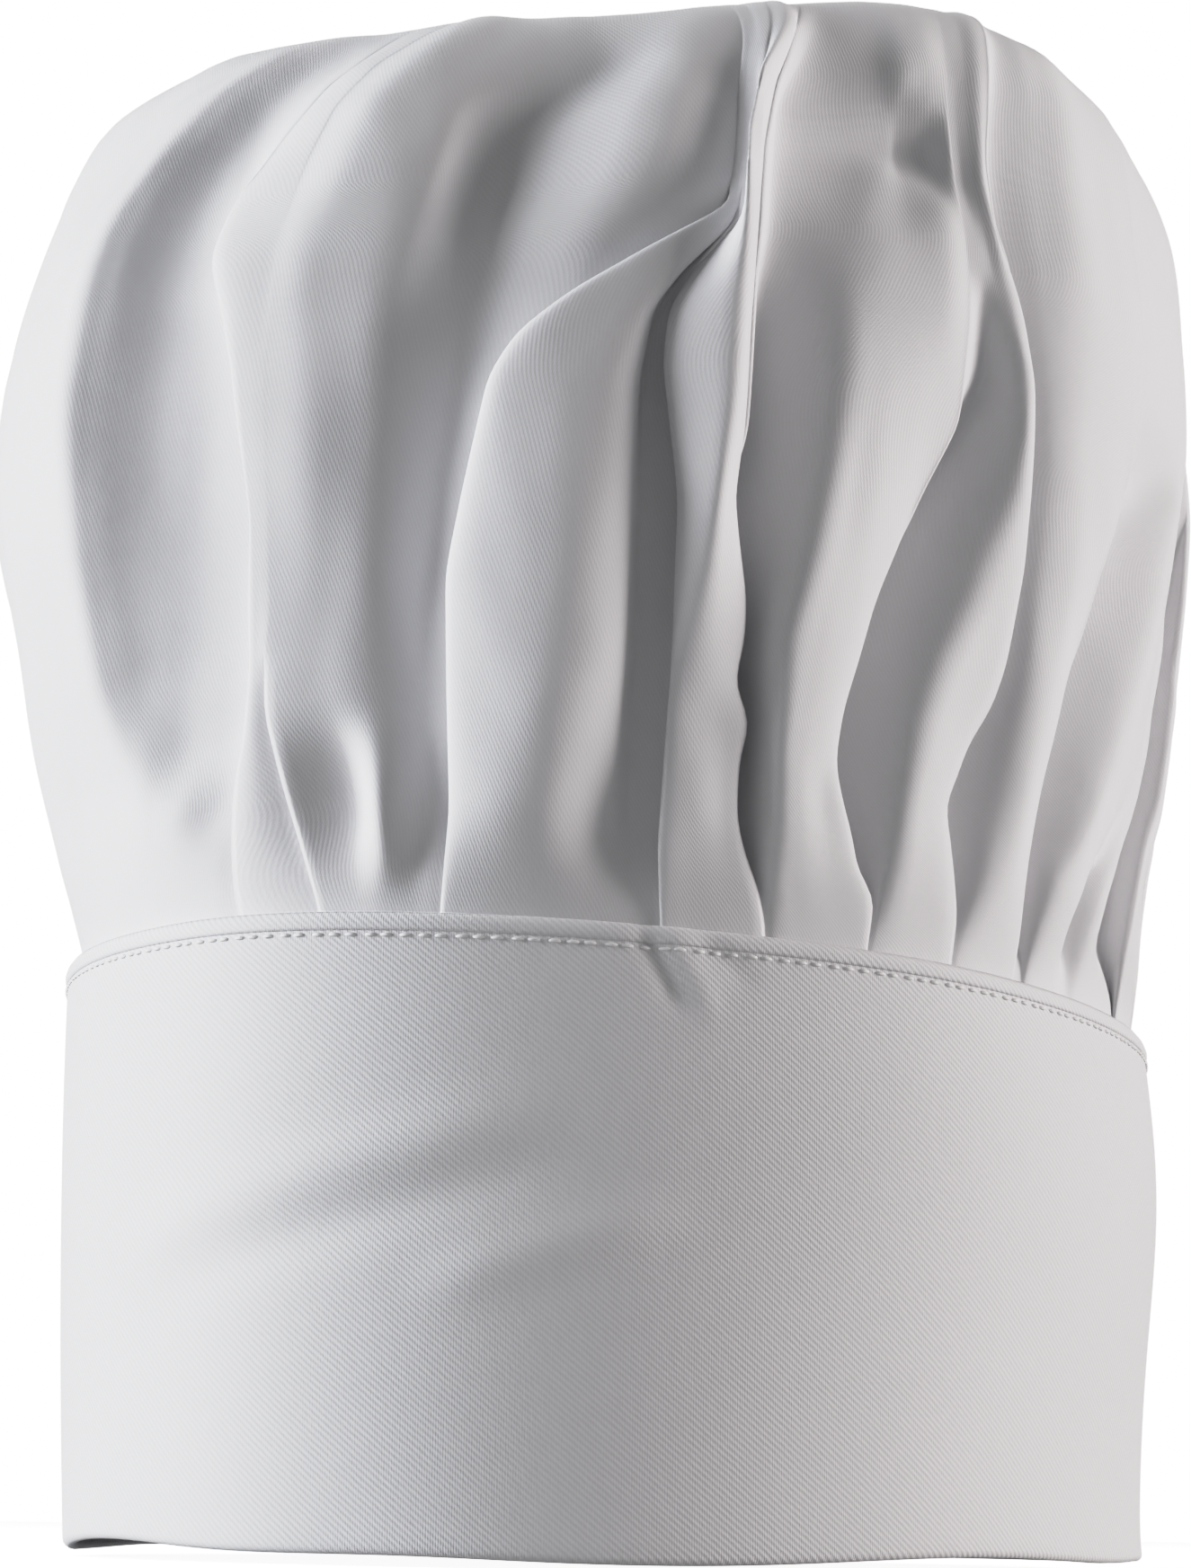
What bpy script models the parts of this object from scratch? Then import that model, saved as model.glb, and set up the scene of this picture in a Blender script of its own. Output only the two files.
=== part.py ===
"""A chef's toque: a tall twill band with a soft pleated crown sewn into it.

The band is one folded strip that wraps a head-shaped oval and closes at the back, where its over end,
the tab, lies on its stepped-in under end and holds by hook and loop tape. Blender 4.5, metres, +Z up,
origin on the surface that the hat stands on, below the middle of the crown. The back of the hat faces
+Y, and angles run from the back towards +X.
"""

import math

import bmesh
import bpy

# Driving dimensions, in metres.
HALF_WIDTH = 0.0850  # outside of the band, ear to ear
HALF_LENGTH = 0.1055  # outside of the band, brow to nape
BAND_HEIGHT = 0.087
CROWN_SPLIT = 0.212  # height where the crown's wall becomes its top
PLY = 0.0006  # one layer of cloth
GAP = 0.0003  # air between touching pieces
STIFFENER = 0.0005
TAPE = 0.0009  # hook or loop tape
THREAD = 0.0004  # diameter of a sewing line
CROWN_THICKNESS = 0.0025

# Angles round the band, in degrees from the back.
TAB_ROOT = -17.0
TAB_END = 17.0
UNDER_END = -14.5  # free edge of the under end
STEP_START = 19.0  # between these the band steps out from under the tab
STEP_FINISH = 29.0
SPACING = 3.75  # between the stations of a swept piece

LOOP_TAPE_ENDS = (-11.0, 15.0)
HOOK_TAPE_ENDS = (2.5, 15.5)
LABEL_MIDDLE = 316.0
LABEL_HALF = 7.5

# Heights and depths, in metres.
BAND_THICKNESS = 2 * PLY + 2 * GAP + STIFFENER
UNDER_STEP = BAND_THICKNESS + 2 * TAPE + 3 * GAP  # how far inside the tab the under end lies
SEWN = (STEP_FINISH + 1.0, 330.0)  # angles between which the crown's edge is inside the band
WELT_FOOT = BAND_HEIGHT - 0.0024
WELT_PROUD = 0.0003
STITCH_Z = WELT_FOOT - GAP - THREAD
SKIRT_FOOT = BAND_HEIGHT - 0.0090
TAB_LOW, TAB_HIGH = 0.0006, BAND_HEIGHT - 0.0004
TAPE_LOW, TAPE_HIGH = 0.012, 0.076
TAPE_SEAM = 0.002  # from a tape's edge in to its stitching
LABEL_LOW, LABEL_HIGH = 0.034, 0.074
TACK_LOW, TACK_HIGH = 0.0745, 0.0835
TACK_HALF = 0.45  # half a bar tack's width, in degrees
OUTER_LINE = -GAP - THREAD / 2  # inset of a sewing line on the band's outer face
INNER_LINE = BAND_THICKNESS + GAP + THREAD / 2  # and on its inner face

# Crown's outer profile: how far it stands outside the band's outer face, and its height.
WALL_PROFILE = [
    (0.0002, 0.0883),
    (0.0016, 0.0950),
    (0.0046, 0.1090),
    (0.0083, 0.1270),
    (0.0110, 0.1470),
    (0.0125, 0.1660),
    (0.0130, 0.1830),
    (0.0124, 0.1980),
    (0.0112, CROWN_SPLIT),
]
# Crown's top, from the split in to the middle: share of the rim's radius, and height.
TOP_PROFILE = [
    (1.000, CROWN_SPLIT + GAP),
    (0.985, 0.2215),
    (0.958, 0.2295),
    (0.905, 0.2355),
    (0.800, 0.2385),
    (0.600, 0.2398),
    (0.350, 0.2400),
    (0.080, 0.2400),
]
TOP_DROPS = [0.0, 0.0004, 0.0010, 0.0018] + [CROWN_THICKNESS] * 4  # its inner face below its outer

COTTON = (0.80, 0.80, 0.81)
THREAD_WHITE = (0.86, 0.86, 0.86)


def clear_scene():
    for obj in list(bpy.data.objects):
        bpy.data.objects.remove(obj, do_unlink=True)


def new_collection(name):
    collection = bpy.data.collections.new(name)
    bpy.context.scene.collection.children.link(collection)
    return collection


def cloth(name, colour, roughness):
    """A plain cotton, tape or thread material."""
    material = bpy.data.materials.new(name)
    material.use_nodes = True
    shader = material.node_tree.nodes["Principled BSDF"]
    shader.inputs["Base Color"].default_value = (*colour, 1.0)
    shader.inputs["Roughness"].default_value = roughness
    shader.inputs["Metallic"].default_value = 0.0
    return material


def smoothstep(low, high, value):
    share = min(max((value - low) / (high - low), 0.0), 1.0)
    return share * share * (3.0 - 2.0 * share)


def on_oval(degrees, inset, height):
    """A point this far inside the band's outer face, square to it."""
    turn = math.radians(degrees)
    across = HALF_LENGTH * math.sin(turn)
    along = HALF_WIDTH * math.cos(turn)
    size = math.hypot(across, along)
    return (
        HALF_WIDTH * math.sin(turn) - inset * across / size,
        HALF_LENGTH * math.cos(turn) - inset * along / size,
        height,
    )


def under_step(degrees):
    """How far the band's outer face lies inside the oval: the full step below the tab, none past it."""
    return UNDER_STEP * (1.0 - smoothstep(STEP_START, STEP_FINISH, degrees))


def stations(start, finish, spacing=SPACING):
    """Both ends and the multiples of spacing between them, so that neighbouring pieces bend at one place."""
    first, last = math.floor(start / spacing) + 1, math.ceil(finish / spacing) - 1
    return [start] + [i * spacing for i in range(first, last + 1)] + [finish]


def finish_mesh(name, bm, parts, material, smooth=True):
    """Makes bm an object of this name in the collection parts."""
    bmesh.ops.recalc_face_normals(bm, faces=bm.faces)
    if bm.calc_volume(signed=True) < 0:
        bmesh.ops.reverse_faces(bm, faces=bm.faces)
    mesh = bpy.data.meshes.new(name)
    bm.to_mesh(mesh)
    bm.free()
    mesh.materials.append(material)
    if smooth:
        mesh.shade_smooth()
        mesh.set_sharp_from_angle(angle=math.radians(35.0))
    obj = bpy.data.objects.new(name, mesh)
    parts.objects.link(obj)
    return obj


def loft(sections, around):
    """A bmesh through closed sections of equal length. It joins the last to the first, or caps both ends."""
    bm = bmesh.new()
    rings = [[bm.verts.new(point) for point in section] for section in sections]
    size = len(rings[0])
    pairs = list(zip(rings, rings[1:]))
    if around:
        pairs.append((rings[-1], rings[0]))
    for one, two in pairs:
        for i in range(size):
            j = (i + 1) % size
            bm.faces.new((one[i], one[j], two[j], two[i]))
    if not around:
        bm.faces.new(rings[0])
        bm.faces.new(list(reversed(rings[-1])))
    return bm


def swept(name, outline, start, finish, parts, material, step=under_step):
    """Sweeps an outline of (inset, height) points round the band from start to finish degrees."""
    sections = [
        [on_oval(degrees, inset + step(degrees), height) for inset, height in outline]
        for degrees in stations(start, finish)
    ]
    return finish_mesh(name, loft(sections, around=False), parts, material)


def no_step(degrees):
    return 0.0


def sewing_line(name, route, closed, parts, material):
    """A line of thread along a route of points."""
    curve = bpy.data.curves.new(name, "CURVE")
    curve.dimensions = "3D"
    curve.bevel_depth = THREAD / 2
    curve.bevel_resolution = 2
    curve.use_fill_caps = True
    spline = curve.splines.new("POLY")
    spline.points.add(len(route) - 1)
    for point, place in zip(spline.points, route):
        point.co = (*place, 1.0)
    spline.use_cyclic_u = closed
    curve.materials.append(material)
    obj = bpy.data.objects.new(name, curve)
    parts.objects.link(obj)
    return obj


def arc_route(start, finish, inset, height, step=under_step):
    return [on_oval(a, inset + step(a), height) for a in stations(start, finish)]


def frame_route(start, finish, low, high, inset, step):
    """A rectangle on the band's face, as the points round it."""
    lower = arc_route(start, finish, inset, low, step)
    upper = arc_route(start, finish, inset, high, step)
    return lower + list(reversed(upper))


def folded_strip(low, outer_high, inner_high):
    """Section of a strip folded at its lower edge: (inset, height) points round the cloth."""
    far = BAND_THICKNESS
    corner = 0.3 * PLY
    return [
        (0.0, outer_high),
        (0.0, low + PLY),
        (corner, low + corner),
        (PLY, low),
        (far - PLY, low),
        (far - corner, low + corner),
        (far, low + PLY),
        (far, inner_high),
        (far - PLY, inner_high),
        (far - PLY, low + PLY),
        (PLY, low + PLY),
        (PLY, outer_high),
    ]


def plate(inset, thickness, low, high):
    """Section of a flat layer: (inset, height) points."""
    return [(inset, low), (inset + thickness, low), (inset + thickness, high), (inset, high)]


def add_band(parts, twill, felt, thread):
    finish = 360.0 + TAB_ROOT
    cover = folded_strip(0.0, WELT_FOOT - GAP, BAND_HEIGHT - GAP)
    swept("band_cover", cover, UNDER_END, finish, parts, twill)
    stiffener_top = SKIRT_FOOT - THREAD - 3 * GAP
    inner = plate(PLY + GAP, STIFFENER, PLY + GAP, stiffener_top)
    swept("band_stiffener", inner, UNDER_END + 1.0, finish - 1.0, parts, felt)
    welt = plate(-WELT_PROUD, PLY + WELT_PROUD, WELT_FOOT, BAND_HEIGHT)
    swept("band_top_welt", welt, UNDER_END, finish, parts, twill)
    route = arc_route(UNDER_END + 0.5, finish - 0.5, OUTER_LINE, STITCH_Z)
    sewing_line("band_topstitch", route, False, parts, thread)


def add_crown_threads(parts, thread):
    """The thread that gathers the crown's edge, inside the band, and the seam that closes the band on it."""
    start, finish = SEWN[0] - 1.0, SEWN[1] + 1.0
    height = SKIRT_FOOT - GAP - THREAD / 2
    route = arc_route(start, finish, BAND_THICKNESS / 2, height)
    sewing_line("crown_gather_thread", route, False, parts, thread)
    route = arc_route(start, finish, INNER_LINE, STITCH_Z)
    sewing_line("crown_seam_thread", route, False, parts, thread)


def crown_inset(degrees, height):
    """The crown's edge steps in with the under end at the back, and the step fades out above the seam."""
    turn = (degrees + 180.0) % 360.0 - 180.0
    share = smoothstep(-26.0, -18.0, turn) * (1.0 - smoothstep(STEP_START, STEP_FINISH, turn))
    return UNDER_STEP * share * (1.0 - smoothstep(0.089, 0.117, height))


def wall_section(degrees):
    """The crown wall's section at one angle: down its outer face, round its edge and up its inner face."""
    sewn = SEWN[0] <= degrees <= SEWN[1]
    foot = SKIRT_FOOT if sewn else BAND_HEIGHT + GAP
    outer_skirt, inner_skirt = PLY + GAP, PLY + GAP + STIFFENER
    outline = [(-outward, height) for outward, height in reversed(WALL_PROFILE)]
    outline += [(outer_skirt, BAND_HEIGHT + 2 * GAP), (outer_skirt, foot)]
    outline += [(inner_skirt, foot), (inner_skirt, BAND_HEIGHT + 3 * GAP)]
    for outward, height in WALL_PROFILE:
        above = height - BAND_HEIGHT
        depth = min(CROWN_THICKNESS, STIFFENER + GAP + above / 6)
        lift = 3 * GAP * (1.0 - smoothstep(0.0, 5 * CROWN_THICKNESS, above))
        outline.append((depth - outward, height + lift))
    return [
        on_oval(degrees, inset + crown_inset(degrees, height), height)
        for inset, height in outline
    ]


def add_crown_wall(parts, lawn):
    angles = stations(0.0, 360.0)[:-1]
    bm = loft([wall_section(degrees) for degrees in angles], around=True)
    finish_mesh("crown_wall", bm, parts, lawn)


def rim_point(degrees, share, drop, height):
    """A point of the crown's top, at this share of the rim's radius less a drop square to the wall."""
    outward = WALL_PROFILE[-1][0]
    x, y, _ = on_oval(degrees, drop - outward, height)
    return (x * share, y * share, height)


def add_crown_top(parts, lawn):
    angles = stations(0.0, 360.0, 2 * SPACING)[:-1]
    outer = [
        [rim_point(a, share, 0.0, height) for a in angles] for share, height in TOP_PROFILE
    ]
    inner = [
        [rim_point(a, share, CROWN_THICKNESS, height - drop) for a in angles]
        for (share, height), drop in zip(TOP_PROFILE, TOP_DROPS)
    ]
    bm = loft(list(reversed(inner)) + outer, around=False)
    finish_mesh("crown_top", bm, parts, lawn)


def add_under_end(parts, tape, thread):
    """The loop tape on the under end, its stitching, and the stitching of the under end's edge."""
    start, finish = LOOP_TAPE_ENDS
    face = plate(-GAP - TAPE, TAPE, TAPE_LOW, TAPE_HIGH)
    swept("loop_tape", face, start, finish, parts, tape)
    low, high = TAPE_LOW + TAPE_SEAM, TAPE_HIGH - TAPE_SEAM
    route = frame_route(start + 1.0, finish - 1.0, low, high, INNER_LINE, under_step)
    sewing_line("loop_tape_stitch", route, True, parts, thread)
    edge = UNDER_END + 1.3
    inset = OUTER_LINE + under_step(edge)
    route = [on_oval(edge, inset, height) for height in (0.004, 0.043, 0.081)]
    sewing_line("under_end_stitch", route, False, parts, thread)


def add_tacks(parts, thread):
    bar = plate(-GAP - THREAD, THREAD, TACK_LOW, TACK_HIGH)
    for name, middle in (("bar_tack_left", 360.0 + TAB_ROOT - 2.5), ("bar_tack_right", STEP_FINISH + 2.5)):
        swept(name, bar, middle - TACK_HALF, middle + TACK_HALF, parts, thread)


def add_label(parts, satin, thread):
    """A blank woven label on the band's inner face, held by one line of stitching."""
    start, finish = LABEL_MIDDLE - LABEL_HALF, LABEL_MIDDLE + LABEL_HALF
    face = plate(BAND_THICKNESS + GAP, PLY, LABEL_LOW, LABEL_HIGH)
    swept("care_label", face, start, finish, parts, satin)
    inset = INNER_LINE + PLY + GAP
    route = arc_route(start + 1.0, finish - 1.0, inset, LABEL_HIGH - TAPE_SEAM)
    sewing_line("label_stitch", route, False, parts, thread)


def hang_on(pivot, objects):
    """Parents objects to the empty on their joint's axis, and leaves them in place."""
    bpy.context.view_layer.update()
    for obj in objects:
        obj.parent = pivot
        obj.matrix_parent_inverse = pivot.matrix_world.inverted()


def add_tab(parts, twill, felt, tape, thread):
    """The tab, its stitching and its hook tape, on an empty at the root where it peels open."""
    start = TAB_ROOT + math.degrees(GAP / HALF_WIDTH)
    cover = folded_strip(TAB_LOW, TAB_HIGH, TAB_HIGH)
    made = [swept("tab_cover", cover, start, TAB_END, parts, twill, no_step)]
    inner = plate(PLY + GAP, STIFFENER, TAB_LOW + PLY + GAP, TAB_HIGH - 2 * PLY)
    made.append(swept("tab_stiffener", inner, start + 0.8, TAB_END - 0.8, parts, felt, no_step))
    face = plate(BAND_THICKNESS + GAP, TAPE, TAPE_LOW, TAPE_HIGH)
    made.append(swept("hook_tape", face, *HOOK_TAPE_ENDS, parts, tape, no_step))

    low, high = TAB_LOW + 0.004, TAB_HIGH - 0.003
    edge = TAB_END - 1.3
    route = arc_route(start + 0.8, edge, OUTER_LINE, low, no_step)
    route += reversed(arc_route(start + 0.8, edge, OUTER_LINE, high, no_step))
    made.append(sewing_line("tab_edge_stitch", route, False, parts, thread))
    first, last = HOOK_TAPE_ENDS[0] + 1.1, HOOK_TAPE_ENDS[1] - 1.1
    low, high = TAPE_LOW + TAPE_SEAM, TAPE_HIGH - TAPE_SEAM
    route = frame_route(first, last, low, high, OUTER_LINE, no_step)
    made.append(sewing_line("hook_tape_stitch", route, True, parts, thread))

    pivot = bpy.data.objects.new("closure_pivot", None)
    pivot.location = on_oval(TAB_ROOT, 0.0, 0.0)
    parts.objects.link(pivot)
    hang_on(pivot, made)


def main():
    clear_scene()
    parts = new_collection("chef_toque")
    twill = cloth("cotton_twill", COTTON, 0.85)
    lawn = cloth("cotton_lawn", COTTON, 0.9)
    felt = cloth("interfacing", (0.72, 0.72, 0.70), 0.95)
    tape = cloth("hook_and_loop", (0.78, 0.78, 0.78), 0.95)
    satin = cloth("label_satin", (0.84, 0.84, 0.83), 0.6)
    thread = cloth("sewing_thread", THREAD_WHITE, 0.7)
    add_band(parts, twill, felt, thread)
    add_crown_wall(parts, lawn)
    add_crown_top(parts, lawn)
    add_crown_threads(parts, thread)
    add_under_end(parts, tape, thread)
    add_tacks(parts, thread)
    add_label(parts, satin, thread)
    add_tab(parts, twill, felt, tape, thread)


main()
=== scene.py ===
"""The looks of a chef's toque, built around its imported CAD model.

Angles go round the hat from its front, (0, -1), towards +X, in degrees. Lengths are in metres, except in the
tables of folds, whose heights and depths are in millimetres.
"""

import math
import random

import bmesh
import bpy
import numpy as np
from mathutils import Matrix, Vector, noise


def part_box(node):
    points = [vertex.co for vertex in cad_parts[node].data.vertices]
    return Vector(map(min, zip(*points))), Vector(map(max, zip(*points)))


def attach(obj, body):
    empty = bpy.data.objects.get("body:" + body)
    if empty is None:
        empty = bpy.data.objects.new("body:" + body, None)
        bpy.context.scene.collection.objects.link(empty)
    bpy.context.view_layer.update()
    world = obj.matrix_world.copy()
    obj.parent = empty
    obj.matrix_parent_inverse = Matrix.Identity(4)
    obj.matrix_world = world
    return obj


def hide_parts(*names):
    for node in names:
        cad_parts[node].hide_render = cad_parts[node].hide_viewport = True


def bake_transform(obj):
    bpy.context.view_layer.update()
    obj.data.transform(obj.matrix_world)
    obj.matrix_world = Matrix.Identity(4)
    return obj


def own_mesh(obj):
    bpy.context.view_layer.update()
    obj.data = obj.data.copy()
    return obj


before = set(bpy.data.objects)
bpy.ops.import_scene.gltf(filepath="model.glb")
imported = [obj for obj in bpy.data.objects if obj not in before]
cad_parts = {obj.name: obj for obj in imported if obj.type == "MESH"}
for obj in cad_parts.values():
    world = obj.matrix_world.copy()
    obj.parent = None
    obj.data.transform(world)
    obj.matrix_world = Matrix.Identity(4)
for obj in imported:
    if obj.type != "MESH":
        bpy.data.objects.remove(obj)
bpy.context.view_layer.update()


def z_range(node):
    """The lowest and highest z of a CAD node."""
    low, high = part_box(node)
    return low.z, high.z


MM = 0.001
COVER_LOW, COVER_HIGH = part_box("band_cover")
HALF_WIDTH = (COVER_HIGH.x - COVER_LOW.x) / 2
HALF_LENGTH = -COVER_LOW.y
WELT_FOOT, BAND_HEIGHT = z_range("band_top_welt")
TAB_LOW, TAB_HIGH = z_range("tab_cover")

CLOTH = 0.0006  # one ply
BAND_THICKNESS = 0.0023
NEAR, MIDDLE, FAR = CLOTH / 2, BAND_THICKNESS / 2, BAND_THICKNESS - CLOTH / 2  # insets of the plies
FOLD_RADIUS = (FAR - NEAR) / 2
INNER_FACE = BAND_THICKNESS + 0.0001
UNDER_STEP = 0.0050  # how far in the band's end lies, under the tab
STEP_START, STEP_FINISH = 151.0, 161.0
BAND_START, BAND_FINISH = -163.0, 194.5
TAB_START, TAB_FINISH = 163.0, 197.0
HOOK_START, HOOK_FINISH = 164.5, 177.5
LOOP_START, LOOP_FINISH = 165.0, 191.0
LABEL_PSI, LABEL_HALF = -136.0, 7.5
METRES_PER_DEGREE = 0.00183  # round the back of the band
VIEW_AZIMUTH = 24.0  # the camera's, round from the hat's front


# ---------------- shapes


def smoothstep(low, high, value):
    share = np.clip((np.asarray(value, float) - low) / (high - low), 0.0, 1.0)
    return share * share * (3.0 - 2.0 * share)


def oval(psi, out):
    """x and y of points on the head's oval, out metres outside the band's outer face."""
    turn = np.radians(psi)
    east, north = np.sin(turn), -np.cos(turn)
    normal_x, normal_y = HALF_LENGTH * east, HALF_WIDTH * north
    size = np.hypot(normal_x, normal_y)
    return HALF_WIDTH * east + out * normal_x / size, HALF_LENGTH * north + out * normal_y / size


def outward(psi):
    turn = np.radians(psi)
    normal = np.stack([HALF_LENGTH * np.sin(turn), -HALF_WIDTH * np.cos(turn), 0 * turn], -1)
    return normal / np.linalg.norm(normal, axis=-1, keepdims=True)


def step_in(psi):
    """How far the band lies inside its outline, where its end goes under the tab."""
    return UNDER_STEP * smoothstep(STEP_START, STEP_FINISH, psi)


def front_share(psi):
    """1 round the front and the sides, 0 at the closure."""
    away = np.abs((np.asarray(psi, float) + 180.0) % 360.0 - 180.0)
    return 1.0 - smoothstep(118.0, 146.0, away)


def ridge(value, middle, half_width):
    return np.exp(-(((np.asarray(value, float) - middle) / half_width) ** 2))


def crease(psi, z, start, finish, half_width):
    """A straight soft wrinkle in the band between two (angle, height in mm) places: 1 on it, 0 away."""
    mm_per_degree = 1.65
    x = np.asarray(psi, float) * mm_per_degree
    y = np.asarray(z, float) / MM
    x0, y0, x1, y1 = start[0] * mm_per_degree, start[1], finish[0] * mm_per_degree, finish[1]
    length = math.hypot(x1 - x0, y1 - y0)
    along = ((x - x0) * (x1 - x0) + (y - y0) * (y1 - y0)) / length**2
    across = ((y - y0) * (x1 - x0) - (x - x0) * (y1 - y0)) / length
    ends = smoothstep(-0.15, 0.25, along) * (1.0 - smoothstep(0.75, 1.15, along))
    return np.exp(-((across / half_width) ** 2)) * ends


# Soft shapes of the worn band, all in mm: swells are (height, angle, half width in degrees), and creases are
# (height, start, finish, half width), with each end at (angle, height up the band).
HEM_SWELLS = ((1.5, -24.0, 20.0), (1.0, 78.0, 22.0), (-0.4, 20.0, 14.0))
FACE_SWELLS = ((0.9, -8.0, 11.0), (-1.9, 24.0, 25.0), (0.7, 60.0, 12.0))
CORNER_FLARES = ((1.3, -65.0, 7.0), (1.1, 113.0, 7.0))
CREASES = (
    (0.9, (-24.0, 41.0), (22.0, 60.0), 4.5),
    (-0.7, (-20.0, 34.0), (24.0, 53.0), 4.0),
    (0.8, (12.0, 36.0), (34.0, 47.0), 3.5),
    (-0.8, (30.5, 87.0), (34.5, 76.0), 1.7),
    (0.5, (33.0, 87.0), (37.5, 75.0), 2.0),
    (-0.35, (36.0, 87.0), (41.0, 80.0), 1.6),
)


def swells(psi, table):
    return sum(height * ridge(psi, middle, half_width) for height, middle, half_width in table)


def settle(psi, z):
    """How the worn band differs from its pattern: (outward, upward) moves."""
    share = np.clip(np.asarray(z, float) / BAND_HEIGHT, 0.0, 1.1)
    lean = (-0.75 + 2.75 * np.cos(np.radians(psi + 65.0))) * share
    hem = swells(psi, HEM_SWELLS) + 0.4 * np.sin(np.radians(7.3 * psi))
    up = lean + hem * (1.0 - share) ** 1.5
    left = np.maximum(0.0, np.cos(np.radians(psi + 58.0)))
    right = np.maximum(0.0, np.cos(np.radians(psi - 100.0)))
    out = -4.0 * left**2 * (1.0 - share) ** 1.6
    out = out + right**2 * (3.2 * ridge(share, 0.72, 0.34) - 1.6 * (1.0 - share) ** 3)
    out = out + 0.4 * np.sin(np.radians(5.1 * psi - 60.0 + 90.0 * share)) * (1.0 - 0.6 * share)
    out = out + swells(psi, FACE_SWELLS)
    for height, *place in CREASES:
        out = out + height * crease(psi, z, *place)
    out = out + swells(psi, CORNER_FLARES) * np.maximum(1.0 - share, 0.0) ** 14
    return out * MM * front_share(psi), up * MM * front_share(psi)


def band_place(psi, inset, z, layer):
    """Points of the band or the tab: inset metres inside the outer face, z metres up."""
    psi, inset, z = np.broadcast_arrays(*(np.asarray(v, float) for v in (psi, inset, z)))
    depth = inset + (step_in(psi) if layer == "band" else 0.0)
    out, up = settle(psi, z)
    x, y = oval(psi, out - depth)
    return np.stack([x, y, z + up], -1)


def arc_length(psi):
    """Length along the oval from the front to each angle, for weaves."""
    dense = np.linspace(-400.0, 400.0, 3201)
    x, y = oval(dense, 0.0)
    run = np.concatenate([[0.0], np.cumsum(np.hypot(np.diff(x), np.diff(y)))])
    return np.interp(psi, dense, run - np.interp(0.0, dense, run))


def run_along(points):
    """How far along its own polyline each point is."""
    return np.concatenate([[0.0], np.cumsum(np.linalg.norm(np.diff(points, axis=0), axis=1))])


def weave_map(across, up):
    return np.stack(np.broadcast_arrays(across, up[:, None]), -1)


def spread(start, finish, step):
    """Angles from start to finish at about one step."""
    return np.linspace(start, finish, max(2, int(round(abs(finish - start) / step)) + 1))


# ---------------- mesh helpers


def add_piece(name, mesh, material):
    """An object of this mesh, smooth all over, in the scene."""
    mesh.polygons.foreach_set("use_smooth", np.ones(len(mesh.polygons), bool))
    mesh.materials.append(material)
    obj = bpy.data.objects.new(name, mesh)
    bpy.context.scene.collection.objects.link(obj)
    return obj


def grid_mesh(name, points, weave, material, closed=False):
    """A sheet from rows x columns of points and their weave in metres; closed joins its last column to its first."""
    rows, columns = points.shape[:2]
    r, c = np.meshgrid(np.arange(rows - 1), np.arange(columns if closed else columns - 1), indexing="ij")
    r, c = r.ravel(), c.ravel()
    after = (c + 1) % columns
    faces = [r * columns + c, r * columns + after, (r + 1) * columns + after, (r + 1) * columns + c]
    faces = np.stack(faces, -1)
    mesh = bpy.data.meshes.new(name)
    mesh.vertices.add(rows * columns)
    mesh.vertices.foreach_set("co", points.astype(np.float32).ravel())
    mesh.loops.add(faces.size)
    mesh.loops.foreach_set("vertex_index", faces.astype(np.int32).ravel())
    mesh.polygons.add(len(faces))
    mesh.polygons.foreach_set("loop_start", np.arange(0, faces.size, 4, dtype=np.int32))
    mesh.update(calc_edges=True)
    mesh.validate()
    places = np.empty((rows, columns + 1, 2))
    places[:, :columns] = weave
    if closed:
        gap = np.linalg.norm(points[:, 0] - points[:, -1], axis=1)
        places[:, columns] = np.stack([weave[:, -1, 0] + gap, weave[:, 0, 1]], -1)
    corners = places[np.stack([r, r, r + 1, r + 1], -1), np.stack([c, c + 1, c + 1, c], -1)]
    mesh.uv_layers.new(name="Weave").data.foreach_set("uv", corners.astype(np.float32).ravel())
    return add_piece(name, mesh, material)


def tube_faces(first, rings, sides):
    """Faces of a closed tube, whose rings of points follow each other from number first on."""
    faces = []
    for start in range(first, first + (rings - 1) * sides, sides):
        for side in range(sides):
            a, b = start + side, start + (side + 1) % sides
            faces.append((a, b, b + sides, a + sides))
    last = first + (rings - 1) * sides
    faces.append(tuple(first + side for side in reversed(range(sides))))
    faces.append(tuple(last + side for side in range(sides)))
    return faces


def solid_piece(name, vertices, faces, material):
    mesh = bpy.data.meshes.new(name)
    mesh.from_pydata(vertices, [], faces)
    return add_piece(name, mesh, material)


def thicken(obj, thickness, offset=0.0):
    """Gives a sheet its thickness, as a finished mesh."""
    modifier = obj.modifiers.new("thickness", "SOLIDIFY")
    modifier.thickness = thickness
    modifier.offset = offset
    modifier.use_even_offset = False
    apply_modifiers(obj)


def apply_modifiers(obj):
    graph = bpy.context.evaluated_depsgraph_get()
    mesh = bpy.data.meshes.new_from_object(obj.evaluated_get(graph), depsgraph=graph)
    obj.modifiers.clear()
    obj.data = mesh


# ---------------- materials


def new_material(name):
    material = bpy.data.materials.new(name)
    material.use_nodes = True
    nodes, links = material.node_tree.nodes, material.node_tree.links
    return material, nodes, links, nodes["Principled BSDF"]


def set_values(node, **values):
    """Sets a node's named inputs, where _ stands for a space."""
    for name, value in values.items():
        node.inputs[name.replace("_", " ")].default_value = value
    return node


def add_node(nodes, kind, **values):
    return set_values(nodes.new("ShaderNode" + kind), **values)


def wire(links, *joins):
    """Links nodes: each join is (node, output, node, input)."""
    for source, output, target, place in joins:
        links.new(source.outputs[output], target.inputs[place])


def add_ramp(nodes, low, high, dark, light):
    """A colour ramp from dark at low to light at high."""
    node = nodes.new("ShaderNodeValToRGB")
    for element, position, colour in zip(node.color_ramp.elements, (low, high), (dark, light)):
        element.position = position
        element.color = (*colour, 1.0)
    return node


def darker(colour, share):
    return [channel * share for channel in colour]


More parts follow.
